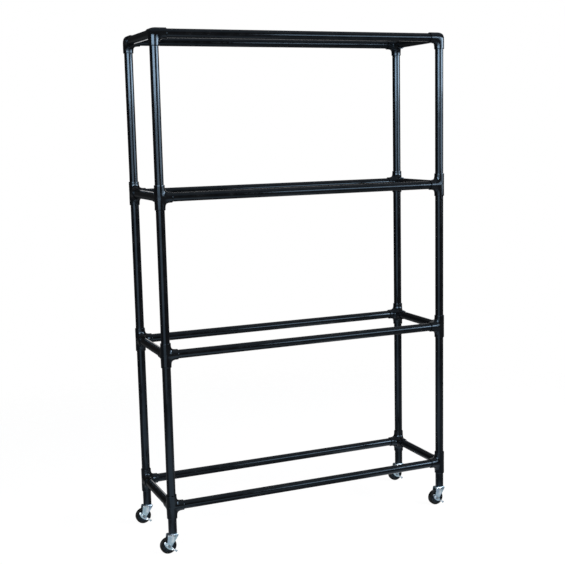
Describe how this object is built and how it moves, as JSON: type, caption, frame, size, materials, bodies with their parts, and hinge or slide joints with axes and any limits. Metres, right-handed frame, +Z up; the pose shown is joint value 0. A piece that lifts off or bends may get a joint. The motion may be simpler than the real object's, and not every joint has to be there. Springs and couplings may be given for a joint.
{
  "type": "exercise ball rack",
  "caption": "Tall open rack of black plastic pipe with tiers of paired rails that cradle exercise balls, on braked swivel casters.",
  "frame": {"origin": "on the floor, in the middle of the area that the rack covers with its casters trailing towards -X", "axes": "+Z up, +X along the long rails to the right seen from the front, +Y from the front to the back"},
  "size_m": [1.2644, 0.3934, 1.9772],
  "materials": {
    "pipe": "black extruded PVC pipe, semi-gloss",
    "fitting": "black moulded PVC, semi-gloss",
    "fork": "bright zinc plating on pressed steel",
    "lever": "bright zinc plating on a steel plate",
    "wheel": "hard black rubber, satin"
  },
  "bodies": {
    "frame": {"leg_front_left": "pipe", "leg_front_right": "pipe", "leg_back_left": "pipe", "leg_back_right": "pipe", "post_front_left_1": "pipe", "post_front_left_2": "pipe", "post_front_left_3": "pipe", "post_front_right_1": "pipe", "post_front_right_2": "pipe", "post_front_right_3": "pipe", "post_back_left_1": "pipe", "post_back_left_2": "pipe", "post_back_left_3": "pipe", "post_back_right_1": "pipe", "post_back_right_2": "pipe", "post_back_right_3": "pipe", "rail_front_1": "pipe", "rail_front_2": "pipe", "rail_front_3": "pipe", "rail_front_4": "pipe", "rail_back_1": "pipe", "rail_back_2": "pipe", "rail_back_3": "pipe", "rail_back_4": "pipe", "side_rail_left_1": "pipe", "side_rail_left_2": "pipe", "side_rail_left_3": "pipe", "side_rail_left_4": "pipe", "side_rail_right_1": "pipe", "side_rail_right_2": "pipe", "side_rail_right_3": "pipe", "side_rail_right_4": "pipe", "tee_front_left_1": "fitting", "tee_front_left_2": "fitting", "tee_front_left_3": "fitting", "tee_front_right_1": "fitting", "tee_front_right_2": "fitting", "tee_front_right_3": "fitting", "tee_back_left_1": "fitting", "tee_back_left_2": "fitting", "tee_back_left_3": "fitting", "tee_back_right_1": "fitting", "tee_back_right_2": "fitting", "tee_back_right_3": "fitting", "elbow_front_left": "fitting", "elbow_front_right": "fitting", "elbow_back_left": "fitting", "elbow_back_right": "fitting"},
    "swivel_front_left": {"caster_fork_front_left": "fork"},
    "swivel_front_right": {"caster_fork_front_right": "fork"},
    "swivel_back_left": {"caster_fork_back_left": "fork"},
    "swivel_back_right": {"caster_fork_back_right": "fork"},
    "wheel_front_left": {"caster_wheel_front_left": "wheel"},
    "wheel_front_right": {"caster_wheel_front_right": "wheel"},
    "wheel_back_left": {"caster_wheel_back_left": "wheel"},
    "wheel_back_right": {"caster_wheel_back_right": "wheel"},
    "brake_front_left": {"brake_lever_front_left": "lever"},
    "brake_front_right": {"brake_lever_front_right": "lever"},
    "brake_back_left": {"brake_lever_back_left": "lever"},
    "brake_back_right": {"brake_lever_back_right": "lever"}
  },
  "joints": [
    {"name": "swivel_turn_front_left", "type": "hinge", "parent": "frame", "child": "swivel_front_left", "pos_m": [-0.58022, -0.176, 0.095], "axis": [0, 0, 1], "continuous": true},
    {"name": "swivel_turn_front_right", "type": "hinge", "parent": "frame", "child": "swivel_front_right", "pos_m": [0.61177, -0.176, 0.095], "axis": [0, 0, 1], "continuous": true},
    {"name": "swivel_turn_back_left", "type": "hinge", "parent": "frame", "child": "swivel_back_left", "pos_m": [-0.58022, 0.176, 0.095], "axis": [0, 0, 1], "continuous": true},
    {"name": "swivel_turn_back_right", "type": "hinge", "parent": "frame", "child": "swivel_back_right", "pos_m": [0.61177, 0.176, 0.095], "axis": [0, 0, 1], "continuous": true},
    {"name": "wheel_spin_front_left", "type": "hinge", "parent": "swivel_front_left", "child": "wheel_front_left", "pos_m": [-0.60023, -0.176, 0.03175], "axis": [0, 1, 0], "continuous": true},
    {"name": "wheel_spin_front_right", "type": "hinge", "parent": "swivel_front_right", "child": "wheel_front_right", "pos_m": [0.59178, -0.176, 0.03175], "axis": [0, 1, 0], "continuous": true},
    {"name": "wheel_spin_back_left", "type": "hinge", "parent": "swivel_back_left", "child": "wheel_back_left", "pos_m": [-0.60023, 0.176, 0.03175], "axis": [0, 1, 0], "continuous": true},
    {"name": "wheel_spin_back_right", "type": "hinge", "parent": "swivel_back_right", "child": "wheel_back_right", "pos_m": [0.59178, 0.176, 0.03175], "axis": [0, 1, 0], "continuous": true},
    {"name": "brake_turn_front_left", "type": "hinge", "parent": "swivel_front_left", "child": "brake_front_left", "pos_m": [-0.60023, -0.1919, 0.03175], "axis": [0, -1, 0], "range_deg": [0, 35]},
    {"name": "brake_turn_front_right", "type": "hinge", "parent": "swivel_front_right", "child": "brake_front_right", "pos_m": [0.59178, -0.1919, 0.03175], "axis": [0, -1, 0], "range_deg": [0, 35]},
    {"name": "brake_turn_back_left", "type": "hinge", "parent": "swivel_back_left", "child": "brake_back_left", "pos_m": [-0.60023, 0.1601, 0.03175], "axis": [0, -1, 0], "range_deg": [0, 35]},
    {"name": "brake_turn_back_right", "type": "hinge", "parent": "swivel_back_right", "child": "brake_back_right", "pos_m": [0.59178, 0.1601, 0.03175], "axis": [0, -1, 0], "range_deg": [0, 35]}
  ]
}
